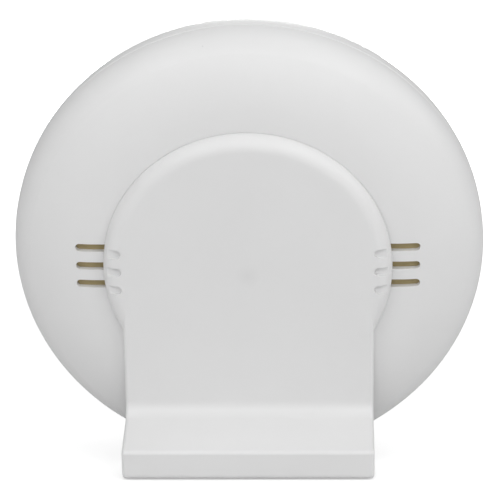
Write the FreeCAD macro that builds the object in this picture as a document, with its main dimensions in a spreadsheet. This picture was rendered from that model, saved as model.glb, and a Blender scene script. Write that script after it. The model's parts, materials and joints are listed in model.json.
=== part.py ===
"""Free-standing carbon monoxide detector: a round two-shell housing on a twist-off stand.

Everything is modelled in the detector's own frame, in millimetres: the detector's axis is Y,
its front faces -Y, its rear faces +Y, and the seam between the two shells is the plane y = 0.
The whole device is then leaned back about X and lifted onto the table, which is z = 0.
"""
import FreeCAD, Part
import math
import os
import re

import Sketcher
from FreeCAD import Placement, Rotation, Vector

SIZES = [
    # the two housing shells
    ("body_radius", 60.0), ("shell_wall", 1.6), ("front_depth", 18.4), ("front_band", 2.1),
    ("front_rim_round", 10.0), ("front_flat_radius", 10.0), ("rear_depth", 13.6), ("rear_band", 0.15),
    ("rear_rim_round", 10.0), ("rear_flat_radius", 38.3), ("seam_gap", 0.4), ("seam_round", 0.35),
    ("tongue_radius", 57.65), ("tongue_thick", 1.9), ("tongue_reach", 2.0), ("tongue_root", 6.0),
    # vents in the rear shell, three on each side
    ("vent_height", 2.1), ("vent_pitch", 5.0), ("vent_inner", 35.0), ("vent_outer", 43.5),
    ("filter_gap", 0.05), ("filter_thick", 0.8), ("filter_inner", 33.5), ("filter_outer", 44.8),
    ("filter_half_height", 8.0),
    # the stand: round cap, leg and foot
    ("lean_angle", 18.0), ("cap_radius", 36.5), ("cap_gap", 0.15), ("cap_height", 4.1),
    ("cap_round", 3.7), ("stand_wall", 2.2), ("leg_half_width", 31.8), ("leg_side_wall", 2.0),
    ("foot_top", 40.0), ("foot_reach", 38.2), ("foot_inner_round", 3.4), ("lip_top_round", 1.0),
    ("lip_foot_round", 1.3), ("leg_edge_round", 0.9), ("foot_rib_thick", 1.6), ("scoop_inner", 31.8),
    ("scoop_height", 2.4), ("scoop_depth", 1.1), ("pad_radius", 5.0), ("pad_thick", 1.6),
    ("pad_proud", 0.4), ("pad_spread", 23.5), ("pad_inset", 9.0), ("pad_play", 0.05),
    # twist lock between the cap and the rear shell
    ("locating_radius", 34.2), ("locating_thick", 1.5), ("locating_height", 1.3), ("running_play", 0.1),
    ("hook_radius", 28.5), ("hook_thick", 1.6), ("hook_angle", 6.0), ("hook_toe_angle", 8.0),
    ("toe_lap_angle", 1.0), ("hook_toe_thick", 1.5), ("hook_play", 0.3), ("hook_slot_play", 0.4),
    ("hook_end_angle", 0.6), ("twist_angle", 10.0),
    # screws that hold the shells together
    ("screw_span", 20.0), ("post_radius", 3.2), ("post_top", 9.8), ("boss_radius", 4.0),
    ("boss_end", 10.0), ("counterbore_radius", 2.9), ("counterbore_depth", 1.9),
    ("screw_hole_radius", 1.5), ("screw_radius", 1.25), ("screw_length", 10.0),
    ("screw_head_radius", 2.6), ("screw_head_height", 1.6), ("pilot_play", 0.05), ("pilot_depth", 11.5),
    ("screw_tip_room", 0.5),
    # circuit board and its four screws
    ("board_radius", 48.0), ("board_thick", 1.6), ("board_rear", 9.8), ("board_play", 0.4),
    ("board_post_radius", 2.8), ("board_screw_radius", 0.85), ("board_hole_radius", 1.3),
    ("board_head_radius", 2.1), ("board_head_height", 1.3), ("board_screw_length", 7.0),
    ("board_screw_x", 34.5), ("board_screw_z", 22.0), ("board_screw_drop", 23.0), ("recess_width", 0.6),
    ("recess_depth", 0.8), ("recess_share", 0.6),
    # test button and the switch behind it
    ("button_radius", 13.0), ("button_play", 0.35), ("button_proud", 0.6), ("button_wall", 1.8),
    ("button_crown", 2.0), ("button_edge_round", 0.5), ("dish_depth", 0.8), ("dish_radius", 70.0),
    ("collar_thick", 1.85), ("collar_end", 9.0), ("flange_radius", 15.6), ("flange_thick", 1.4),
    ("flange_gap", 0.2), ("stem_radius", 2.5), ("button_rib_thick", 1.2), ("button_rib_depth", 6.0),
    ("switch_side", 6.0), ("switch_height", 3.5), ("plunger_radius", 1.75), ("plunger_proud", 1.4),
    ("plunger_length", 3.1), ("plunger_play", 0.15), ("switch_floor", 0.8),
    # indicator lamps and their light pipes
    ("lamp_circle", 19.5), ("lamp_step", 24.0), ("lamp_radius", 1.5), ("lamp_base_radius", 1.9),
    ("lamp_base_height", 1.0), ("lamp_height", 5.0), ("pipe_radius", 1.6), ("pipe_play", 0.05),
    ("pipe_front", 17.9), ("pipe_end", 2.8), ("pipe_flange_radius", 2.4), ("pipe_flange_front", 15.0),
    ("pipe_flange_thick", 1.0), ("pipe_round", 0.3),
    # carbon monoxide cell
    ("cell_x", 31.0), ("cell_radius", 10.0), ("cell_height", 13.0), ("cell_cap_radius", 10.3),
    ("cell_cap_height", 2.0), ("cell_cap_round", 0.6), ("cell_inlet_radius", 1.2),
    ("cell_pin_radius", 0.5), ("cell_pin_circle", 5.5), ("cell_pin_length", 2.6), ("pin_play", 0.1),
    # sounder
    ("sounder_z", 33.0), ("sounder_radius", 15.5), ("sounder_front", 8.0), ("sounder_depth", 8.0),
    ("sounder_wall", 1.5), ("sounder_mouth", 4.0), ("disc_radius", 13.8), ("disc_thick", 0.3),
    ("disc_ledge_radius", 12.6), ("disc_rear", 1.3), ("gasket_thick", 0.6), ("gasket_outer", 14.5),
    ("gasket_inner", 12.0), ("grille_radius", 11.0), ("grille_pitch", 3.6), ("grille_width", 1.8),
    ("lead_radius", 0.6), ("lead_bend", 1.7), ("lead_x", 5.0), ("lead_end_x", 9.0), ("lead_end_z", 20.5),
    ("lead_level", 3.5),
    # battery
    ("battery_radius", 7.15), ("battery_length", 50.0), ("battery_z", 33.0), ("battery_pad_thick", 0.65),
    ("battery_pad_width", 10.0), ("battery_pad_length", 40.0), ("nub_radius", 2.7), ("nub_length", 1.0),
    ("battery_end_round", 0.8), ("tab_thick", 0.3), ("tab_width", 4.0), ("tab_rise", 5.0),
    # board components
    ("chip_side", 7.0), ("chip_height", 1.4), ("chip_standoff", 0.1), ("chip_x", 31.0), ("chip_z", 4.0),
    ("leg_pitch", 0.8), ("leg_width", 0.35), ("leg_reach", 1.0), ("leg_thick", 0.25), ("amp_length", 5.0),
    ("amp_width", 4.0), ("amp_z", 8.0), ("can_radius", 2.5), ("can_height", 7.0), ("can_round", 0.5),
    ("can_x", 41.0), ("can_pitch", 6.0), ("coil_x", 24.0), ("coil_z", 11.5), ("coil_radius", 3.2),
    ("coil_waist_radius", 2.2), ("coil_height", 4.6), ("coil_flange", 1.0), ("chip_part_length", 2.0),
    ("chip_part_width", 1.25), ("chip_part_height", 0.5), ("chip_part_x", 20.0), ("chip_part_pitch", 2.6),
    ("header_wall", 0.5), ("header_floor", 1.0), ("header_width", 5.0), ("header_depth", 2.6),
    ("header_height", 5.0), ("header_x", 40.5), ("header_z", 12.5),
]
FUNCTIONS = {"sqrt", "pow", "sin", "cos", "tan"}
OVERRUN = 2.0          # how far cutting tools run past what they cut
OVERLAP = 0.2          # how far solids that are joined reach into each other
ALONG_Y = Rotation(Vector(1, 0, 0), -90)   # turns a cylinder's own Z axis to +Y
QUARTERS = (0, 90, 180, 270)

doc = FreeCAD.newDocument("carbon_monoxide_detector")
sheet = doc.addObject("Spreadsheet::Sheet", "sizes")
for row, (alias, value) in enumerate(SIZES, start=1):
    sheet.set(f"A{row}", alias)
    sheet.set(f"B{row}", str(value))
    sheet.setAlias(f"B{row}", alias)
doc.recompute()
subparts = []


# ---------------------------------------------------------------- helpers

def formula(text):
    """A formula over the names in the sheet, written out the way an expression needs it."""
    def full(match):
        word = match.group()
        return word if word in FUNCTIONS else "sizes." + word
    return re.sub(r"[a-z][a-z_]*", full, str(text))


def number(text):
    """The value of a formula now."""
    found = sheet.evalExpression(formula(text))
    return float(getattr(found, "Value", found))


def bind(obj, **formulas):
    """Ties properties to formulas; x, y and z mean the placement's position."""
    for name, text in formulas.items():
        path = f"Placement.Base.{name}" if name in "xyz" else name
        obj.setExpression(path, formula(text))
    return obj


def cylinder(name, radius, start, end, x="0", z="0", turn=0.0, angle=None):
    """A cylinder along Y from y = start to y = end; turn and angle make it a sector."""
    obj = doc.addObject("Part::Cylinder", name)
    spin = Rotation(Vector(0, 1, 0), turn)
    obj.Placement = Placement(Vector(), spin.multiply(ALONG_Y))
    if angle is not None:
        obj.setExpression("Angle", formula(angle))
    return bind(obj, Radius=radius, Height=f"({end}) - ({start})", x=x, y=start, z=z)


def box(name, low, high):
    """A box between two corners, each given as three formulas."""
    obj = doc.addObject("Part::Box", name)
    spans = [f"({b}) - ({a})" for a, b in zip(low, high)]
    return bind(obj, Length=spans[0], Width=spans[1], Height=spans[2], x=low[0], y=low[1], z=low[2])


def fuse(name, *objects):
    if len(objects) == 1:
        return objects[0]
    obj = doc.addObject("Part::MultiFuse", name)
    obj.Shapes = list(objects)
    return obj


def common(name, *objects):
    obj = doc.addObject("Part::MultiCommon", name)
    obj.Shapes = list(objects)
    return obj


def cut(name, base, *tools):
    obj = doc.addObject("Part::Cut", name)
    obj.Base = base
    obj.Tool = fuse(name + "_tools", *tools)
    return obj


def tube(name, outer, inner, start, end, x="0", z="0"):
    return cut(name, cylinder(name + "_outer", outer, start, end, x, z),
               cylinder(name + "_bore", inner, f"({start}) - {OVERRUN}", f"({end}) + {OVERRUN}", x, z))


def ring_sector(name, inner, outer, start, end, turn, angle):
    """Part of a ring about the axis, starting at turn degrees about +Y."""
    return cut(name, cylinder(name + "_outer", outer, start, end, turn=turn, angle=angle),
               cylinder(name + "_inner", inner, f"({start}) - {OVERRUN}", f"({end}) + {OVERRUN}"))


def slot_bar(name, first, last, width, start, end, x="0", z="0", upright=False):
    """A bar with round ends, from first to last along X (or Z if upright)."""
    inset = f"({width}) / 2"
    near, far = f"({first}) + {inset}", f"({last}) - {inset}"
    if upright:
        middle = box(name + "_bar", (f"({x}) - {inset}", start, near), (f"({x}) + {inset}", end, far))
        ends = [cylinder(f"{name}_end{i}", inset, start, end, x, at) for i, at in enumerate((near, far))]
    else:
        middle = box(name + "_bar", (near, start, f"({z}) - {inset}"), (far, end, f"({z}) + {inset}"))
        ends = [cylinder(f"{name}_end{i}", inset, start, end, at, z) for i, at in enumerate((near, far))]
    return fuse(name, middle, *ends)


def rounded(name, base, radius, chosen):
    """Rounds the edges of base that chosen(edge) accepts."""
    doc.recompute()
    obj = doc.addObject("Part::Fillet", name)
    obj.Base = base
    r = number(radius)
    obj.Edges = [(i, r, r) for i, edge in enumerate(base.Shape.Edges, start=1) if chosen(edge)]
    return obj


def edge_at_y(y):
    """Chooses closed round edges that lie in the plane at that y."""
    def chosen(edge):
        return abs(edge.BoundBox.YMin - y) < 1e-4 and abs(edge.BoundBox.YMax - y) < 1e-4
    return chosen


def origin_plane(body, role):
    return next(f for f in body.Origin.OriginFeatures if f.Role == role)


def new_sketch(body, name, role):
    sketch = body.newObject("Sketcher::SketchObject", name)
    sketch.AttachmentSupport = [(origin_plane(body, role), "")]
    sketch.MapMode = "FlatFace"
    return sketch


def dimension(sketch, name, text, *args):
    """Adds a sketch dimension and ties it to a formula."""
    index = sketch.addConstraint(Sketcher.Constraint(*args, number(text)))
    sketch.renameConstraint(index, name)
    sketch.setExpression(f"Constraints.{name}", formula(text))


def polygon(sketch, corners):
    """A closed polygon whose corners are pairs of formulas."""
    points = [Vector(number(a), number(b), 0) for a, b in corners]
    count = len(points)
    for i in range(count):
        sketch.addGeometry(Part.LineSegment(points[i], points[(i + 1) % count]), False)
    for i in range(count):
        sketch.addConstraint(Sketcher.Constraint("Coincident", i, 2, (i + 1) % count, 1))
    for i, (a, b) in enumerate(corners):
        dimension(sketch, f"across{i}", a, "DistanceX", -1, 1, i, 1)
        dimension(sketch, f"up{i}", b, "DistanceY", -1, 1, i, 1)


def subpart(label, *objects):
    """Declares a finished sub-part, one or more solids that share a node."""
    obj = doc.addObject("Part::Compound", label)
    obj.Label = label
    obj.Links = list(objects)
    subparts.append(obj)
    return obj


# ---------------------------------------------------------------- housing shells

def bowl(name, side, inset):
    """The solid inside one housing shell's outer face, moved in by inset.

    Its half profile is an axis line, a flat crown, a crown arc, a rim arc, a short straight
    band at the seam and the seam plane, all tangent where they meet.
    """
    sign = 1 if side == "rear" else -1
    depth, flat = number(f"{side}_depth - ({inset})"), number(f"{side}_flat_radius")
    band, rim = number(f"{side}_band"), number(f"{side}_rim_round - ({inset})")
    radius = number(f"body_radius - ({inset})")
    across, rise = radius - rim - flat, depth - band
    crown = (across ** 2 + rise ** 2 - rim ** 2) / (2 * (rise - rim))
    rim_centre = Vector(radius - rim, sign * band, 0)
    crown_centre = Vector(flat, sign * (depth - crown), 0)
    meet = crown_centre + (rim_centre - crown_centre).normalize() * crown

    def arc(centre, r, start, end):
        """The shorter arc between two points, and the ends' positions in it."""
        a, b = (math.atan2(p.y - centre.y, p.x - centre.x) for p in (start, end))
        swap = math.sin(b - a) < 0
        geometry = Part.ArcOfCircle(Part.Circle(centre, Vector(0, 0, 1), r), *((b, a) if swap else (a, b)))
        return geometry, (2, 1) if swap else (1, 2)

    body = doc.addObject("PartDesign::Body", name)
    sketch = new_sketch(body, name + "_profile", "XY_Plane")
    corners = [Vector(), Vector(0, sign * depth, 0), Vector(flat, sign * depth, 0), meet,
               Vector(radius, sign * band, 0), Vector(radius, 0, 0)]
    crown_arc, crown_ends = arc(crown_centre, crown, corners[2], corners[3])
    rim_arc, rim_ends = arc(rim_centre, rim, corners[3], corners[4])
    for geometry in (Part.LineSegment(corners[0], corners[1]), Part.LineSegment(corners[1], corners[2]),
                     crown_arc, rim_arc, Part.LineSegment(corners[4], corners[5]),
                     Part.LineSegment(corners[5], corners[0])):
        sketch.addGeometry(geometry, False)
    axis_line, crown_line, crown_id, rim_id, band_line, seam_line = range(6)
    for constraint in (
        ("Coincident", axis_line, 1, -1, 1), ("Vertical", axis_line),
        ("Coincident", axis_line, 2, crown_line, 1), ("Horizontal", crown_line),
        ("Tangent", crown_line, 2, crown_id, crown_ends[0]),
        ("Tangent", crown_id, crown_ends[1], rim_id, rim_ends[0]),
        ("Tangent", rim_id, rim_ends[1], band_line, 1), ("Vertical", band_line),
        ("Coincident", band_line, 2, seam_line, 1), ("Horizontal", seam_line),
        ("Coincident", seam_line, 2, axis_line, 1),
    ):
        sketch.addConstraint(Sketcher.Constraint(*constraint))
    dimension(sketch, "depth", f"{side}_depth - ({inset})", "Distance", axis_line)
    dimension(sketch, "flat", f"{side}_flat_radius", "Distance", crown_line)
    dimension(sketch, "band", f"{side}_band", "Distance", band_line)
    dimension(sketch, "radius", f"body_radius - ({inset})", "Distance", seam_line)
    dimension(sketch, "rim", f"{side}_rim_round - ({inset})", "Radius", rim_id)
    turned = body.newObject("PartDesign::Revolution", name + "_turned")
    turned.Profile = sketch
    turned.ReferenceAxis = (sketch, ["V_Axis"])
    turned.Angle = 360
    body.Tip = turned
    return body


def corner_signs():
    return [(1, 1), (-1, 1), (-1, -1), (1, -1)]


def screw_places():
    return [(f"{i} * screw_span", f"{k} * screw_span") for i, k in corner_signs()]


def board_screw_places():
    heights = {1: "board_screw_z", -1: "-board_screw_drop"}
    return [(f"{i} * board_screw_x", heights[k]) for i, k in corner_signs()]


def lamp_places():
    """Three places on an arc above the button, with what shines there."""
    def place(step):
        return f"lamp_circle * sin({step} * lamp_step)", f"lamp_circle * cos({step} * lamp_step)"
    return [("power", *place(-1)), ("alarm", *place(0)), ("fault", *place(1))]


def grille_bars():
    """The sounder's outlet: upright slots that fill a circle."""
    bars = []
    for i in range(-2, 3):
        half = f"sqrt(pow(grille_radius; 2) - pow({i} * grille_pitch; 2))"
        bars.append(slot_bar(f"grille{i + 2}", f"-sounder_z - {half}", f"-sounder_z + {half}", "grille_width",
                             f"-front_depth - {OVERRUN}", f"-gasket_thick - sounder_front - {OVERLAP}",
                             x=f"{i} * grille_pitch", upright=True))
    return bars


def make_front_housing():
    outside = rounded("front_outside", bowl("front_bowl", "front", "0"), "seam_round",
                      lambda e: edge_at_y(0.0)(e) and e.BoundBox.XLength > 1.9 * number("body_radius"))
    shell = cut("front_shell", outside, bowl("front_hollow", "front", "shell_wall"))
    front = f"-front_depth - {OVERRUN}"
    inside = [tube("button_collar", "button_radius + button_play + collar_thick", "button_radius", front,
                   "-collar_end"),
              tube("sounder_collar", "gasket_outer", "gasket_inner", front,
                   "-sounder_front - gasket_thick", z="-sounder_z")]
    holes = [cylinder("button_hole", "button_radius + button_play", front, f"-collar_end + {OVERRUN}"),
             *grille_bars()]
    for i, (x, z) in enumerate(screw_places()):
        inside.append(cylinder(f"post{i}", "post_radius", front, "post_top", x, z))
        holes.append(cylinder(f"pilot{i}", "screw_radius + pilot_play", "post_top - pilot_depth",
                              f"post_top + {OVERRUN}", x, z))
    for i, (x, z) in enumerate(board_screw_places()):
        inside.append(cylinder(f"board_post{i}", "board_post_radius", front, "board_rear - board_thick", x, z))
        holes.append(cylinder(f"board_pilot{i}", "board_screw_radius + pilot_play",
                              "board_rear - board_screw_length - screw_tip_room", "board_rear", x, z))
    for name, x, z in lamp_places():
        holes.append(cylinder(name + "_window", "pipe_radius + pipe_play", front,
                              f"-pipe_flange_front + {OVERLAP}", x, z))
    # posts and collars start outside the dome, so what lies inside its outer face is kept
    reach = fuse("front_reach", outside,
                 cylinder("front_room", "tongue_radius - tongue_thick", "-front_band", "post_top"))
    kept = common("front_inside", fuse("front_inside_all", *inside), reach)
    subpart("front_housing", cut("front_done", fuse("front_whole", shell, kept), *holes))


def vent_bars(name, inner, outer, height, start, end):
    """Three level bars on each side, at the vents' pitch."""
    bars = []
    for row in (-1, 0, 1):
        z = f"{row} * vent_pitch"
        bars.append(slot_bar(f"{name}_right{row + 1}", inner, outer, height, start, end, z=z))
        bars.append(slot_bar(f"{name}_left{row + 1}", f"-({outer})", f"-({inner})", height, start, end, z=z))
    return bars


def make_rear_housing():
    shell = cut("rear_shell", bowl("rear_bowl", "rear", "0"), bowl("rear_hollow", "rear", "shell_wall"))
    solid = [shell,
             tube("tongue", "tongue_radius", "tongue_radius - tongue_thick", "-tongue_reach", "tongue_root"),
             tube("locating_ring", "locating_radius", "locating_radius - locating_thick",
                  "rear_depth - shell_wall / 2", "rear_depth + locating_height")]
    beyond = f"rear_depth + locating_height + {OVERRUN}"
    under = f"rear_depth - shell_wall - {OVERRUN}"
    holes = [tube("seam_groove", f"body_radius + {OVERRUN}", "body_radius - seam_gap", f"-{OVERRUN}",
                  "seam_gap"),
             *vent_bars("vent", "vent_inner", "vent_outer", "vent_height", under, beyond)]
    for i, (x, z) in enumerate(screw_places()):
        solid.append(cylinder(f"boss{i}", "boss_radius", "boss_end", "rear_depth - shell_wall / 2", x, z))
        holes.append(cylinder(f"boss_hole{i}", "screw_hole_radius", f"boss_end - {OVERRUN}", beyond, x, z))
        holes.append(cylinder(f"counterbore{i}", "counterbore_radius", "rear_depth - counterbore_depth",
                              beyond, x, z))
    for turn in QUARTERS:
        holes.append(ring_sector(f"hook_slot{turn}", "hook_radius - hook_thick / 2 - hook_slot_play",
                                 "hook_radius + hook_thick / 2 + hook_slot_play", under, beyond,
                                 turn - number("hook_angle / 2 + hook_end_angle"),
                                 "hook_angle + twist_angle + 2 * hook_end_angle"))
    subpart("rear_housing", cut("rear_done", fuse("rear_whole", *solid), *holes))


def make_vent_filters():
    """Two thin felt pads against the inside of the rear shell, one behind each row of vents."""
    layer = cut("filter_layer", bowl("filter_outside", "rear", "shell_wall + filter_gap"),
                bowl("filter_inside", "rear", "shell_wall + filter_gap + filter_thick"))
    low, high = "rear_depth / 2", "rear_depth"
    blocks = [box("filter_right", ("filter_inner", low, "-filter_half_height"),
                  ("filter_outer", high, "filter_half_height")),
              box("filter_left", ("-filter_outer", low, "-filter_half_height"),
                  ("-filter_inner", high, "filter_half_height"))]
    subpart("vent_filters", common("filters_done", layer, fuse("filter_blocks", *blocks)))


# ---------------------------------------------------------------- stand

GROUND = ("((body_radius - rear_rim_round) * cos(lean_angle) + rear_band * sin(lean_angle)"
          " + rear_rim_round)")


def level_line(y, above):
    """The z of a level line, above the table by that much, at y in the leaning detector's frame."""
    return f"(({y}) * sin(lean_angle) - {GROUND} + ({above})) / cos(lean_angle)"


def extruded(name, corners, half_width):
    """A polygon in the YZ plane padded to both sides of it."""
    body = doc.addObject("PartDesign::Body", name)
    sketch = new_sketch(body, name + "_profile", "YZ_Plane")
    polygon(sketch, corners)
    doc.recompute()
    pad = body.newObject("PartDesign::Pad", name + "_pad")
    pad.Profile = sketch
    pad.Midplane = True
    pad.setExpression("Length", formula(f"2 * ({half_width})"))
    body.Tip = pad
    doc.recompute()
    return body, pad


def round_body(body, feature, name, radius, chosen):
    """Adds a fillet to a body on the edges that chosen(edge) accepts."""
    names = [f"Edge{i}" for i, e in enumerate(feature.Shape.Edges, start=1) if chosen(e)]
    fillet = body.newObject("PartDesign::Fillet", name)
    fillet.Base = (feature, names)
    fillet.setExpression("Radius", formula(radius))
    body.Tip = fillet
    doc.recompute()
    return fillet


def across_edge(y, z):
    """Chooses the edge that runs along X at that y and z."""
    def chosen(edge):
        b = edge.BoundBox
        return b.XLength > 1 and abs(b.YMin - y) + abs(b.YMax - y) + abs(b.ZMin - z) + abs(b.ZMax - z) < 1e-3
    return chosen


def make_leg():
    """The leg and foot as a block: an upright plate that turns back into a foot with a level sole."""
    seat, back = "rear_depth + cap_gap", "rear_depth + cap_height"
    lip_foot, toe = level_line("foot_reach", "pad_proud"), level_line(seat, "pad_proud")
    body, feature = extruded("leg_block", [
        (seat, "0"), (back, "0"), (back, "-foot_top"), ("foot_reach", "-foot_top"),
        ("foot_reach", lip_foot), (seat, toe)], "leg_half_width")
    for name, radius, y, z in (("foot_bend", "foot_inner_round", back, "-foot_top"),
                               ("lip_top", "lip_top_round", "foot_reach", "-foot_top"),
                               ("lip_foot", "lip_foot_round", "foot_reach", lip_foot)):
        feature = round_body(body, feature, name, radius, across_edge(number(y), number(z)))
    side, front = number("leg_half_width"), number(seat)

    def outer_side_edge(edge):
        b = edge.BoundBox
        return b.XLength < 1e-3 and abs(abs(b.XMin) - side) < 1e-3 and b.YMax > front + 1e-3 and b.ZMin < -1
    round_body(body, feature, "leg_edges", "leg_edge_round", outer_side_edge)
    return body


def make_leg_hollow():
    """The space inside the leg and foot, open towards the housing."""
    inner = "rear_depth + cap_height - stand_wall"
    mouth = f"rear_depth + cap_gap - {OVERRUN}"
    floor, reach = "pad_proud + stand_wall", "foot_reach - stand_wall"
    return extruded("leg_hollow", [
        (mouth, "0"), (inner, "0"), (inner, "-foot_top - stand_wall"), (reach, "-foot_top - stand_wall"),
        (reach, level_line(reach, floor)), (mouth, level_line(mouth, floor))],
        "leg_half_width - leg_side_wall")[0]


def make_foot_ribs():
    """Two upright ribs that tie the foot's top plate to its sole."""
    inner, reach = "rear_depth + cap_height - stand_wall / 2", "foot_reach - stand_wall / 2"
    floor = "pad_proud + stand_wall / 2"
    ribs = []
    for i, side in enumerate((-1, 1)):
        plate = extruded(f"foot_rib{i}", [
            (inner, "-foot_top - stand_wall / 2"), (reach, "-foot_top - stand_wall / 2"),
            (reach, level_line(reach, floor)), (inner, level_line(inner, floor))], "foot_rib_thick / 2")[0]
        plate.setExpression("Placement.Base.x", formula(f"{side} * leg_half_width / 3"))
        ribs.append(plate)
    return ribs


def make_hook(turn):
    """One bayonet hook: a tab that goes through the rear shell and a toe that catches under it."""
    inner, outer = "hook_radius - hook_thick / 2", "hook_radius + hook_thick / 2"
    toe_top = "rear_depth - shell_wall - hook_play"
    toe_foot = toe_top + " - hook_toe_thick"
    half = number("hook_angle / 2")
    tab = ring_sector(f"tab{turn}", inner, outer, toe_foot, "rear_depth + cap_height - stand_wall / 2",
                      turn - half, "hook_angle")
    toe = ring_sector(f"toe{turn}", inner, outer, toe_foot, toe_top, turn - half - number("hook_toe_angle"),
                      "hook_toe_angle + toe_lap_angle")
    return fuse(f"hook{turn}", tab, toe)


def pad_disc(name, radius, low, high, side):
    """An upright cylinder in the sole of the foot, between two heights above the table."""
    obj = doc.addObject("Part::Cylinder", name)
    y = "foot_reach - pad_inset"
    lean = number("lean_angle")
    obj.Placement = Placement(Vector(), Rotation(Vector(1, 0, 0), lean))
    return bind(obj, Radius=radius, Height=f"({high}) - ({low})", x=f"{side} * pad_spread",
                y=f"{y} - ({low}) * sin(lean_angle)",
                z=f"{level_line(y, '0')} + ({low}) * cos(lean_angle)")


def make_stand():
    seat, back = "rear_depth + cap_gap", "rear_depth + cap_height"
    cap = rounded("cap", cylinder("cap_disc", "cap_radius", seat, back), "cap_round", edge_at_y(number(back)))
    cap_hollow = cylinder("cap_hollow", "locating_radius + running_play", f"{seat} - {OVERRUN}",
                          f"{back} - stand_wall")
    recesses = [pad_disc(f"pad_recess{i}", "pad_radius + pad_play", f"-{OVERRUN}", "pad_thick", side)
                for i, side in enumerate((-1, 1))]
    hollow = cut("stand_hollow", fuse("stand_solid", cap, make_leg()), cap_hollow, make_leg_hollow())
    webbed = fuse("stand_webbed", hollow, *make_foot_ribs(), *[make_hook(turn) for turn in QUARTERS])
    # the scoops are level, in line with the vents, and run out through the cap's rounded edge
    scoops = vent_bars("scoop", "scoop_inner", "cap_radius + scoop_height", "scoop_height",
                       f"{back} - scoop_depth", f"{back} + {OVERRUN}")
    subpart("stand", cut("stand_done", webbed, *scoops, *recesses))
    subpart("foot_pads", *[pad_disc(f"pad{i}", "pad_radius", "0", "pad_thick", side)
                           for i, side in enumerate((-1, 1))])


# ---------------------------------------------------------------- fasteners

def screw(name, x, z, seat, head_radius, head_height, radius, length):
    """A pan-head screw driven towards -Y, with its head on the plane y = seat and a cross recess."""
    head = cylinder(name + "_head", head_radius, seat, f"({seat}) + {head_height}", x, z)
    shank = cylinder(name + "_shank", radius, f"({seat}) - ({length})", f"({seat}) + {OVERLAP}", x, z)
    top, floor = f"({seat}) + {head_height} + {OVERRUN}", f"({seat}) + {head_height} - recess_depth"
    arms = []
    for i, (a, b) in enumerate((("recess_width / 2", f"{head_radius} * recess_share"),
                                (f"{head_radius} * recess_share", "recess_width / 2"))):
        arms.append(box(f"{name}_arm{i}", (f"({x}) - {a}", floor, f"({z}) - {b}"),
                        (f"({x}) + {a}", top, f"({z}) + {b}")))
    return cut(name, fuse(name + "_blank", head, shank), *arms)


def make_screws():
    subpart("housing_screws", *[
        screw(f"housing_screw{i}", x, z, "rear_depth - counterbore_depth", "screw_head_radius",
              "screw_head_height", "screw_radius", "screw_length")
        for i, (x, z) in enumerate(screw_places())])
    subpart("board_screws", *[
        screw(f"board_screw{i}", x, z, "board_rear", "board_head_radius", "board_head_height",
              "board_screw_radius", "board_screw_length")
        for i, (x, z) in enumerate(board_screw_places())])


# ---------------------------------------------------------------- button and lamps

def make_button():
    face = "-front_depth - button_proud"
    skirt_end = "-collar_end + flange_gap + flange_thick"
    blank = rounded("button_blank", cylinder("button_disc", "button_radius", face, skirt_end),
                    "button_edge_round", edge_at_y(number(face)))
    hollow = cylinder("button_hollow", "button_radius - button_wall", f"{face} + button_crown + dish_depth",
                      f"{skirt_end} + {OVERRUN}")
    dish = doc.addObject("Part::Sphere", "button_dish")
    bind(dish, Radius="dish_radius", y=f"{face} + dish_depth - dish_radius")
    cup = cut("button_cup", blank, hollow, dish)
    flange = tube("button_flange", "flange_radius", "button_radius - button_wall",
                  "-collar_end + flange_gap", skirt_end)
    switch_face = "board_rear - board_thick - switch_height - plunger_proud"
    stem = cylinder("button_stem", "stem_radius", f"{face} + button_crown", switch_face)
    root = f"{face} + button_crown"
    ribs = []
    for i, (a, b) in enumerate((("button_radius - button_wall / 2", "button_rib_thick / 2"),
                                ("button_rib_thick / 2", "button_radius - button_wall / 2"))):
        ribs.append(box(f"button_rib{i}", (f"-({a})", root, f"-({b})"),
                        (a, f"{root} + button_rib_depth", b)))
    subpart("test_button", fuse("button_done", cup, flange, stem, *ribs))
    bore_floor = "board_rear - board_thick - switch_floor"
    base = "switch_side / 2"
    top = "board_rear - board_thick - switch_height"
    subpart("switch_body", cut(
        "switch_done", box("switch_block", (f"-{base}", top, f"-{base}"),
                           (base, "board_rear - board_thick", base)),
        cylinder("switch_bore", "plunger_radius + plunger_play", f"{top} - {OVERRUN}", bore_floor)))
    subpart("switch_plunger", cylinder("plunger", "plunger_radius", switch_face,
                                       f"{switch_face} + plunger_length"))


def make_lamps():
    board_front = "board_rear - board_thick"
    for name, x, z in lamp_places():
        tip = doc.addObject("Part::Sphere", name + "_tip")
        bind(tip, Radius="lamp_radius", x=x, y=f"{board_front} - lamp_height + lamp_radius", z=z)
        subpart(name + "_lamp", fuse(
            name + "_lamp_done",
            cylinder(name + "_lamp_base", "lamp_base_radius", f"{board_front} - lamp_base_height",
                     board_front, x, z),
            cylinder(name + "_lamp_barrel", "lamp_radius", f"{board_front} - lamp_height + lamp_radius",
                     board_front, x, z),
            tip))
        rod = rounded(name + "_rod", cylinder(name + "_rod_blank", "pipe_radius", "-pipe_front",
                                              "pipe_end", x, z),
                      "pipe_round", edge_at_y(-number("pipe_front")))
        flange = cylinder(name + "_pipe_flange", "pipe_flange_radius", "-pipe_flange_front",
                          "-pipe_flange_front + pipe_flange_thick", x, z)
        subpart(name + "_light_pipe", fuse(name + "_pipe_done", rod, flange))


# ---------------------------------------------------------------- board and what it carries

def cell_pins():
    """The cell's three pins, on a circle about its centre."""
    return [(f"-cell_x + cell_pin_circle * cos({a})", f"cell_pin_circle * sin({a})")
            for a in (90, 210, 330)]


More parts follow.
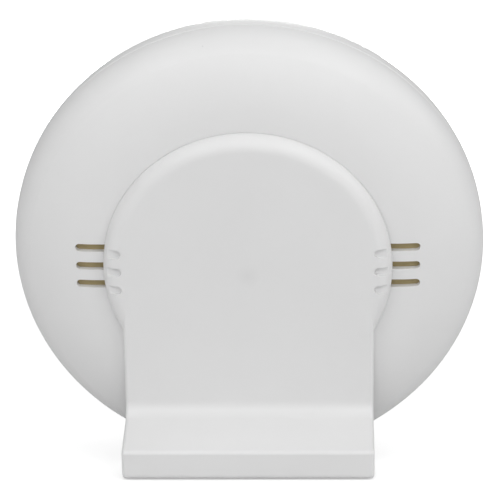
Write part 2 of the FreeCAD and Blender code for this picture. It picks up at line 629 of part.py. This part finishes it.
def make_board():
    rear, front = "board_rear", "board_rear - board_thick"
    under, over = f"{front} - {OVERRUN}", f"{rear} + {OVERRUN}"
    holes = [cylinder(f"post_hole{i}", "post_radius + board_play", under, over, x, z)
             for i, (x, z) in enumerate(screw_places())]
    holes += [cylinder(f"board_hole{i}", "board_hole_radius", under, over, x, z)
              for i, (x, z) in enumerate(board_screw_places())]
    holes += [cylinder(f"pin_hole{i}", "cell_pin_radius + pin_play", under, over, x, z)
              for i, (x, z) in enumerate(cell_pins())]
    subpart("circuit_board", cut("board_done", cylinder("board_disc", "board_radius", front, rear), *holes))


def make_cell():
    """The electrochemical cell that senses the gas."""
    front = "board_rear - board_thick"
    x = "-cell_x"
    cap_seat = f"{front} - cell_height"
    subpart("gas_cell", cylinder("cell_can", "cell_radius", cap_seat, front, x))
    inlet = cylinder("cell_inlet", "cell_inlet_radius", f"{cap_seat} - cell_cap_height - {OVERRUN}",
                     f"{cap_seat} + {OVERLAP}", x)
    lid = rounded("cell_lid", cylinder("cell_lid_blank", "cell_cap_radius", f"{cap_seat} - cell_cap_height",
                                       cap_seat, x),
                  "cell_cap_round", edge_at_y(number(f"{cap_seat} - cell_cap_height")))
    subpart("gas_cell_cap", cut("cell_cap_done", lid, inlet))
    subpart("gas_cell_pins", *[cylinder(f"cell_pin{i}", "cell_pin_radius", front,
                                        f"{front} + cell_pin_length", px, pz)
                               for i, (px, pz) in enumerate(cell_pins())])


def lead(name, points, radius, bend):
    """A round lead along straight runs joined by tangent arcs, ends square to its first and last run."""
    edges, at = [], points[0]
    for corner, after in zip(points[1:-1], points[2:]):
        before = (at - corner).normalize()
        ahead = (after - corner).normalize()
        half = before.getAngle(ahead) / 2
        back = bend / math.tan(half)
        start, end = corner + before * back, corner + ahead * back
        middle = corner + (before + ahead).normalize() * (bend / math.sin(half) - bend)
        edges += [Part.LineSegment(at, start).toShape(), Part.Arc(start, middle, end).toShape()]
        at = end
    edges.append(Part.LineSegment(at, points[-1]).toShape())
    path = Part.Wire(edges)
    ring = Part.Wire(Part.Circle(points[0], points[1] - points[0], radius).toShape())
    obj = doc.addObject("Part::Feature", name)
    obj.Shape = path.makePipeShell([ring], True, False)
    return obj


def make_sounder():
    z = "-sounder_z"
    front, rear = "-sounder_front", "-sounder_front + sounder_depth"
    seat = "-disc_rear - disc_thick"
    subpart("sounder_case", cut(
        "sounder_done", cylinder("sounder_block", "sounder_radius", front, rear, z=z),
        cylinder("sounder_chamber", "disc_ledge_radius", f"{front} + sounder_wall", f"{seat} + {OVERLAP}", z=z),
        cylinder("sounder_seat", "disc_radius + running_play", seat, f"{rear} + {OVERRUN}", z=z),
        cylinder("sounder_outlet", "sounder_mouth", f"{front} - {OVERRUN}",
                 f"{front} + sounder_wall + {OVERLAP}", z=z)))
    subpart("sounder_disc", cylinder("disc", "disc_radius", seat, f"{seat} + disc_thick", z=z))
    subpart("sounder_gasket", tube("gasket", "gasket_outer", "gasket_inner", f"{front} - gasket_thick",
                                   front, z=z))
    board_front = number("board_rear - board_thick")
    level = number("lead_level")
    for name, side in (("sounder_lead_red", 1), ("sounder_lead_black", -1)):
        x, end_x = side * number("lead_x"), side * number("lead_end_x")
        start_z, end_z = -number("sounder_z"), -number("lead_end_z")
        route = [Vector(x, -number("disc_rear"), start_z), Vector(x, level, start_z),
                 Vector(end_x, level, end_z), Vector(end_x, board_front, end_z)]
        subpart(name, lead(name + "_tube", route, number("lead_radius"), number("lead_bend")))


def along_x(name, radius, start, end, y, z):
    """A cylinder along X."""
    obj = doc.addObject("Part::Cylinder", name)
    obj.Placement = Placement(Vector(), Rotation(Vector(0, 1, 0), 90))
    return bind(obj, Radius=radius, Height=f"({end}) - ({start})", x=start, y=y, z=z)


def make_battery():
    front = "board_rear - board_thick"
    y = f"{front} - battery_pad_thick - battery_radius"
    half = "battery_length / 2"

    def end_edge(edge):
        return edge.BoundBox.XLength < 1e-6
    can = rounded("battery_can", along_x("battery_blank", "battery_radius", f"-{half}", half, y, "battery_z"),
                  "battery_end_round", end_edge)
    nub = along_x("battery_nub", "nub_radius", f"{half} - {OVERLAP}", f"{half} + nub_length", y, "battery_z")
    subpart("battery_cell", fuse("battery_done", can, nub))
    subpart("battery_pad", box(
        "foam", ("-battery_pad_length / 2", f"{front} - battery_pad_thick", "battery_z - battery_pad_width / 2"),
        ("battery_pad_length / 2", front, "battery_z + battery_pad_width / 2")))
    tabs = []
    for name, near, far in (("positive_tab", f"{half} + nub_length", f"{half} + nub_length + tab_thick"),
                            ("negative_tab", f"-{half} - tab_thick", f"-{half}")):
        tabs.append(box(name, (near, f"{y} - tab_rise / 2", "battery_z - tab_width / 2"),
                        (far, front, "battery_z + tab_width / 2")))
    subpart("battery_tabs", *tabs)


def make_chip(label, length, width, height, x, z, legs, all_round):
    """A black chip package on the board's front face with gull-wing legs along two or four sides."""
    front = "board_rear - board_thick"
    parts = [box(label + "_package", (f"{x} - {length} / 2", f"{front} - {height}", f"{z} - {width} / 2"),
                 (f"{x} + {length} / 2", f"{front} - chip_standoff", f"{z} + {width} / 2"))]
    for i in range(legs):
        shift = f"{i - (legs - 1) / 2} * leg_pitch"
        for side in (-1, 1):
            edge, tip = f"{side} * ({width} / 2 - {OVERLAP})", f"{side} * ({width} / 2 + leg_reach)"
            low, high = (edge, tip) if side > 0 else (tip, edge)
            parts.append(box(f"{label}_leg{i}_{side + 1}",
                             (f"{x} + {shift} - leg_width / 2", f"{front} - leg_thick", f"{z} + {low}"),
                             (f"{x} + {shift} + leg_width / 2", front, f"{z} + {high}")))
            if all_round:
                edge, tip = f"{side} * ({length} / 2 - {OVERLAP})", f"{side} * ({length} / 2 + leg_reach)"
                low, high = (edge, tip) if side > 0 else (tip, edge)
                parts.append(box(f"{label}_side{i}_{side + 1}",
                                 (f"{x} + {low}", f"{front} - leg_thick", f"{z} + {shift} - leg_width / 2"),
                                 (f"{x} + {high}", front, f"{z} + {shift} + leg_width / 2")))
    subpart(label, fuse(label + "_done", *parts))


def make_components():
    front = "board_rear - board_thick"
    make_chip("microcontroller", "chip_side", "chip_side", "chip_height", "chip_x", "chip_z", 7, True)
    make_chip("amplifier_chip", "amp_length", "amp_width", "chip_height", "chip_x", "-amp_z", 4, False)
    subpart("capacitors", *[
        rounded(f"capacitor{i}", cylinder(f"capacitor_can{i}", "can_radius", f"{front} - can_height", front,
                                          "can_x", f"{i - 1} * can_pitch"),
                "can_round", edge_at_y(number(f"{front} - can_height"))) for i in range(3)])
    subpart("boost_coil", fuse(
        "coil_done",
        cylinder("coil_foot", "coil_radius", f"{front} - coil_flange", front, "coil_x", "-coil_z"),
        cylinder("coil_waist", "coil_waist_radius", f"{front} - coil_height", front, "coil_x", "-coil_z"),
        cylinder("coil_head", "coil_radius", f"{front} - coil_height", f"{front} - coil_height + coil_flange",
                 "coil_x", "-coil_z")))
    resistors = []
    for i in range(6):
        x, z = f"chip_part_x - {i % 2} * 2 * chip_part_width", f"{i // 2 - 1} * chip_part_pitch"
        resistors.append(box(
            f"resistor{i}",
            (f"{x} - chip_part_width / 2", f"{front} - chip_part_height", f"{z} - chip_part_length / 2"),
            (f"{x} + chip_part_width / 2", front, f"{z} + chip_part_length / 2")))
    subpart("resistors", *resistors)
    subpart("service_header", cut(
        "header_done",
        box("header_block", ("header_x - header_depth / 2", f"{front} - header_height",
                             "header_z - header_width / 2"),
            ("header_x + header_depth / 2", front, "header_z + header_width / 2")),
        box("header_mouth",
            ("header_x - header_depth / 2 + header_wall", f"{front} - header_height - {OVERRUN}",
             "header_z - header_width / 2 + header_wall"),
            ("header_x + header_depth / 2 - header_wall", f"{front} - header_floor",
             "header_z + header_width / 2 - header_wall"))))


# ---------------------------------------------------------------- assembly and export

def place_on_table():
    """Leans the device back about X until its rim and its foot pads share the table plane."""
    lean = Placement(Vector(), Rotation(Vector(1, 0, 0), -number("lean_angle")))
    height = number(GROUND)
    whole = Part.Compound([s.Shape for s in subparts])
    whole.Placement = lean
    bounds = whole.optimalBoundingBox(False, False)
    device = Placement(Vector(0, -(bounds.YMin + bounds.YMax) / 2, height), Rotation()).multiply(lean)
    for s in subparts:
        s.Placement = device.multiply(s.Placement)
    print("axis passes through", [round(v, 4) for v in device.Base], "along",
          [round(v, 6) for v in device.Rotation.multVec(Vector(0, 1, 0))])


def check_document():
    for obj in doc.Objects:
        if "Invalid" in obj.State or "Error" in obj.State:
            raise RuntimeError(f"{obj.Name} failed: {obj.State}")
    for s in subparts:
        shape = s.Shape
        if shape.isNull() or not shape.isValid() or not shape.Solids:
            raise RuntimeError(f"{s.Label} is not a valid solid")


def export():
    os.makedirs("parts", exist_ok=True)
    for old in os.listdir("parts"):
        os.remove(os.path.join("parts", old))
    for s in subparts:
        s.Shape.exportStep(os.path.join("parts", s.Label + ".step"))
        print(f"{s.Label}: {len(s.Shape.Solids)} solids, {s.Shape.Volume:.1f} mm3")


make_front_housing()
make_rear_housing()
make_vent_filters()
make_stand()
make_screws()
make_button()
make_lamps()
make_board()
make_cell()
make_sounder()
make_battery()
make_components()
doc.recompute()
check_document()
place_on_table()
doc.recompute()
check_document()
export()
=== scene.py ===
"""Looks of the free-standing carbon monoxide detector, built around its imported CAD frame."""

import json
import math

import bpy
from mathutils import Matrix, Vector

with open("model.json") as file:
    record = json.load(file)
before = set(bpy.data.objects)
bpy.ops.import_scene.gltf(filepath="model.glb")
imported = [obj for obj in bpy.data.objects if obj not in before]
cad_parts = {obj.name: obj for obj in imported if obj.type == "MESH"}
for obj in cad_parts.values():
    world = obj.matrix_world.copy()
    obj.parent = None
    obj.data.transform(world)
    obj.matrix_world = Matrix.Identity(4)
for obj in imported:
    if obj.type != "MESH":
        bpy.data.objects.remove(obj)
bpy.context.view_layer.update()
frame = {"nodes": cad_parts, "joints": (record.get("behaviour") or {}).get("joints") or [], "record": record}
scene = bpy.context.scene
nodes = frame["nodes"]

MM = 0.001

# The detector's own directions: its axis points out of the rear, its upright lies in the disc.
twist = next(j for j in frame["joints"] if j["name"] == "stand_twist")
SEAM_CENTRE = Vector(twist["pos_m"])
AXIS = Vector(twist["axis"]).normalized()
ACROSS = Vector((-1, 0, 0))
UPRIGHT = AXIS.cross(ACROSS)


# ---------------------------------------------------------------- node helpers

def new_material(name):
    material = bpy.data.materials.new(name)
    material.use_nodes = True
    tree = material.node_tree
    tree.nodes.clear()
    output = tree.nodes.new("ShaderNodeOutputMaterial")
    shader = tree.nodes.new("ShaderNodeBsdfPrincipled")
    tree.links.new(shader.outputs["BSDF"], output.inputs["Surface"])
    return material, tree, shader


def node(tree, kind, inputs=None, **settings):
    made = tree.nodes.new("ShaderNode" + kind)
    for name, value in settings.items():
        setattr(made, name, value)
    for name, value in (inputs or {}).items():
        socket = made.inputs[name]
        if isinstance(value, bpy.types.NodeSocket):
            tree.links.new(value, socket)
        else:
            socket.default_value = value
    return made


def place(tree):
    return node(tree, "TexCoord").outputs["Object"]


def noise(tree, scale, detail=2.0, roughness=0.5, vector=None):
    return node(tree, "TexNoise", {"Vector": vector or place(tree), "Scale": scale, "Detail": detail,
                                   "Roughness": roughness}).outputs["Fac"]


def ramp(tree, fac, low, high, start=0.0, end=1.0):
    """A two-colour ramp of fac."""
    made = node(tree, "ValToRGB", {"Fac": fac})
    first, last = made.color_ramp.elements
    first.position, first.color = start, (*low, 1)
    last.position, last.color = end, (*high, 1)
    return made.outputs["Color"]


def span(tree, fac, low, high, start=0.0, end=1.0):
    """fac mapped from start..end to low..high."""
    return node(tree, "MapRange", {"Value": fac, "From Min": start, "From Max": end, "To Min": low,
                                   "To Max": high}).outputs["Result"]


def bump(tree, height, distance, strength=1.0, normal=None):
    inputs = {"Height": height, "Distance": distance, "Strength": strength}
    if normal is not None:
        inputs["Normal"] = normal
    return node(tree, "Bump", inputs).outputs["Normal"]


def shade(colour, factor):
    return tuple(min(1.0, c * factor) for c in colour)


# ---------------------------------------------------------------- materials

TONE_SCALE, TONE_LOW, TONE_HIGH = 28.0, 0.985, 1.01
SPECK_CELLS, SPECK_SIZE, SPECK_RARITY, SPECK_SHADE = 95.0, 0.026, 0.965, 0.82
GRAIN_SCALE, GRAIN_DEPTH = 2600.0, 0.012 * MM
WAVE_SCALE, WAVE_DEPTH = 55.0, 0.04 * MM


def moulded_plastic(name, colour, roughness=0.42, grain=0.35, painted_shade_spot=None):
    """Fine-textured moulded plastic: slight tone drift, eroded mould grain and a few dust specks.

    A soft darker spot is painted at the point sink: painted shade standing in for the shallow dent where the
    moulding shrank behind its gate.
    """
    material, tree, shader = new_material(name)
    drift = noise(tree, TONE_SCALE, 3.0)
    base = ramp(tree, drift, shade(colour, TONE_LOW), shade(colour, TONE_HIGH), 0.3, 0.7)
    cells = node(tree, "TexVoronoi", {"Vector": place(tree), "Scale": SPECK_CELLS, "Randomness": 1.0})
    dot = node(tree, "Math", {0: cells.outputs["Distance"], 1: SPECK_SIZE}, operation="LESS_THAN")
    rare = node(tree, "SeparateColor", {"Color": cells.outputs["Color"]})
    chosen = node(tree, "Math", {0: rare.outputs["Red"], 1: SPECK_RARITY}, operation="GREATER_THAN")
    mask = node(tree, "Math", {0: dot.outputs[0], 1: chosen.outputs[0]}, operation="MULTIPLY")
    mixed = node(tree, "Mix", {"Factor": mask.outputs[0]}, data_type="RGBA")
    tree.links.new(base, mixed.inputs["A"])
    mixed.inputs["B"].default_value = (*shade(colour, SPECK_SHADE), 1)
    base = mixed.outputs["Result"]
    # Painted shade: the colour is darkened softly around the sink dent, most at its centre.
    if painted_shade_spot is not None:
        away = node(tree, "VectorMath", {0: place(tree), 1: painted_shade_spot}, operation="DISTANCE").outputs["Value"]
        shade_fade = span(tree, away, SINK_PAINTED_SHADE, 1.0, 0.0, SINK_RADIUS)
        base = node(tree, "VectorMath", {0: base, "Scale": shade_fade}, operation="SCALE").outputs["Vector"]
    tree.links.new(base, shader.inputs["Base Color"])
    tree.links.new(span(tree, noise(tree, 1900.0, 2.0), roughness - 0.05, roughness + 0.06, 0.3, 0.7),
                   shader.inputs["Roughness"])
    fine = noise(tree, GRAIN_SCALE, 3.0, 0.6)
    wave = bump(tree, noise(tree, WAVE_SCALE, 1.0), WAVE_DEPTH, 0.5)
    tree.links.new(bump(tree, fine, GRAIN_DEPTH, grain, wave), shader.inputs["Normal"])
    shader.inputs["IOR"].default_value = 1.5
    return material


def plain_finish(name, colour, roughness, metallic=0.0, transmission=0.0, variation=0.06, scale=400.0,
                 depth=0.01):
    """A small part's finish: tone and roughness variation with a fine bump."""
    material, tree, shader = new_material(name)
    mottled = noise(tree, scale, 3.0)
    tree.links.new(ramp(tree, mottled, shade(colour, 1 - variation), shade(colour, 1 + variation), 0.3, 0.7),
                   shader.inputs["Base Color"])
    tree.links.new(span(tree, noise(tree, scale * 2.3, 2.0), roughness * 0.85, roughness * 1.15, 0.3, 0.7),
                   shader.inputs["Roughness"])
    tree.links.new(bump(tree, noise(tree, scale * 5.0, 2.0), depth * MM, 0.5), shader.inputs["Normal"])
    shader.inputs["Metallic"].default_value = metallic
    shader.inputs["Transmission Weight"].default_value = transmission
    return material


SHELL_WHITE = (0.78, 0.78, 0.78)
# Painted shade of the cap's sink dent: how dark the painted spot gets at its centre, and how far it spreads.
SINK_PAINTED_SHADE, SINK_RADIUS = 0.95, 3.4 * MM
CAP_FACE, SINK_DROP = 17.7 * MM, 1.0 * MM
# The painted shade spot sits on the cap face, a little below its centre.
CAP_SINK_SHADE_SPOT = SEAM_CENTRE + AXIS * CAP_FACE - UPRIGHT * SINK_DROP
WHITE_SLOTS = ("housing_white", "stand_white", "button_white")
METALS = ("brass", "brushed_steel", "aluminium")
OWN_LOOKS = {
    # slot: colour, roughness, metallic, transmission; these differ from the record's plain colours
    "filter_felt": ((0.42, 0.34, 0.178), 0.8, 0.0, 0.0),
    # The disc's brass is darkened to about half its colour: painted shade for the disc sitting in shadow
    # behind the grille.
    "disc_brass": ((0.30, 0.22, 0.10), 0.75, 0.6, 0.0),
    "pipe_clear": ((0.80, 0.86, 0.84), 0.22, 0.0, 0.85),
}


def finish(slot):
    """The look of one material slot of the record."""
    name = slot["slot"]
    if name in WHITE_SLOTS:
        return moulded_plastic(name, SHELL_WHITE, painted_shade_spot=CAP_SINK_SHADE_SPOT if name == "stand_white" else None)
    if name in OWN_LOOKS:
        return plain_finish(name, *OWN_LOOKS[name])
    if slot["class"] in METALS:
        return plain_finish(name, slot["base_color"][:3], 0.3, 1.0)
    return plain_finish(name, slot["base_color"][:3], 0.5)


FINISHES = {slot["slot"]: finish(slot) for slot in frame["record"]["materials"]}
for entry in frame["record"]["subparts"]:
    part = nodes[entry["node"]]
    part.data.materials.clear()
    part.data.materials.append(FINISHES[entry["material_slot"]])


# ---------------------------------------------------------------- floor, light and camera

LIGHT_DISTANCE = 1.6
LIGHT_TARGET = Vector((0, 0, 0.06))
WORLD_FILL = 0.37
FLOOR_SIZE = 6.0
FLOOR_WHITE = (0.74, 0.74, 0.74)
# The camera sees the floor glow by GLOW_NEAR at GLOW_START metres, and GLOW_FAR from GLOW_END metres.
GLOW_NEAR, GLOW_FAR = 0.45, 1.0
GLOW_START, GLOW_END = 0.25, 0.9
SOFTBOXES = (
    # name, azimuth, elevation, size in metres, power in watts
    ("rear_low", 180, 25, 0.9, 4.1),
    ("rear_right", 215, 30, 0.8, 4.5),
    ("rear_left", 145, 30, 0.8, 4.5),
    ("side_right", 262, 25, 0.8, 3.0),
    ("high_right", 235, 60, 0.9, 1.8),
    ("high_left", 125, 60, 0.9, 1.9),
    ("front_rim", 0, 6, 0.35, 6.0),
    ("front_mid", 0, 25, 0.5, 2.5),
)


def make_floor():
    """A pale floor that the camera sees brighter than it lights the object, white far from it."""
    bpy.ops.mesh.primitive_plane_add(size=FLOOR_SIZE)
    floor = bpy.context.object
    floor.name = "floor"
    material, tree, shader = new_material("floor_pale")
    tree.links.new(ramp(tree, noise(tree, 3.0), FLOOR_WHITE, shade(FLOOR_WHITE, 1.02)),
                   shader.inputs["Base Color"])
    shader.inputs["Roughness"].default_value = 0.9
    shader.inputs["Emission Color"].default_value = (1, 1, 1, 1)
    seen = node(tree, "LightPath").outputs["Is Camera Ray"]
    away = node(tree, "VectorMath", {0: place(tree)}, operation="LENGTH").outputs["Value"]
    glow = span(tree, away, GLOW_NEAR, GLOW_FAR, GLOW_START, GLOW_END)
    tree.links.new(node(tree, "Math", {0: seen, 1: glow}, operation="MULTIPLY").outputs[0],
                   shader.inputs["Emission Strength"])
    floor.data.materials.append(material)


def softbox(name, azimuth, elevation, size, power):
    """A round soft light aimed at the object; azimuth 180 is behind it, on the photograph's side."""
    turn, rise = math.radians(azimuth), math.radians(elevation)
    direction = Vector((math.sin(turn) * math.cos(rise), -math.cos(turn) * math.cos(rise), math.sin(rise)))
    data = bpy.data.lights.new(name, "AREA")
    data.shape = "DISK"
    data.size = size
    data.energy = power
    light = bpy.data.objects.new(name, data)
    light.location = LIGHT_TARGET + direction * LIGHT_DISTANCE
    light.rotation_euler = (-direction).to_track_quat("-Z", "Y").to_euler()
    scene.collection.objects.link(light)


def make_world():
    """White where the camera looks past the floor, and dim where it lights the object."""
    world = bpy.data.worlds.new("studio")
    world.use_nodes = True
    tree = world.node_tree
    seen = node(tree, "LightPath").outputs["Is Camera Ray"]
    tree.links.new(span(tree, seen, WORLD_FILL, 1.0), tree.nodes["Background"].inputs["Strength"])
    tree.nodes["Background"].inputs["Color"].default_value = (1, 1, 1, 1)
    scene.world = world


CAMERA_RISE, CAMERA_TURN, CAMERA_ROLL = math.radians(25.27), math.radians(1.68), math.radians(-0.87)
CAMERA_DISTANCE, CAMERA_LENS = 0.7635, 213.9
CAMERA_SHIFT = (0.00165, -0.0186)
CAMERA_TARGET = SEAM_CENTRE - AXIS * 1.19 * MM


def make_camera():
    """Looks at the rear, from above the disc's axis and a little to one side."""
    rise, turn, roll = CAMERA_RISE, CAMERA_TURN, CAMERA_ROLL
    towards = (ACROSS * math.sin(turn) * math.cos(rise) + UPRIGHT * math.sin(rise)
               + AXIS * math.cos(turn) * math.cos(rise))
    up = (-ACROSS * math.sin(turn) * math.sin(rise) + UPRIGHT * math.cos(rise)
          - AXIS * math.cos(turn) * math.sin(rise))
    right = up.cross(towards)
    tilted_right = right * math.cos(roll) + up * math.sin(roll)
    tilted_up = up * math.cos(roll) - right * math.sin(roll)
    data = bpy.data.cameras.new("camera")
    data.sensor_width = 36.0
    data.lens = CAMERA_LENS
    data.shift_x, data.shift_y = CAMERA_SHIFT
    camera = bpy.data.objects.new("camera", data)
    frame_matrix = Matrix((tilted_right, tilted_up, towards)).transposed().to_4x4()
    frame_matrix.translation = CAMERA_TARGET + towards * CAMERA_DISTANCE
    camera.matrix_world = frame_matrix
    scene.collection.objects.link(camera)
    scene.camera = camera


scene.view_settings.view_transform = "Standard"
make_floor()
make_world()
for light in SOFTBOXES:
    softbox(*light)
make_camera()
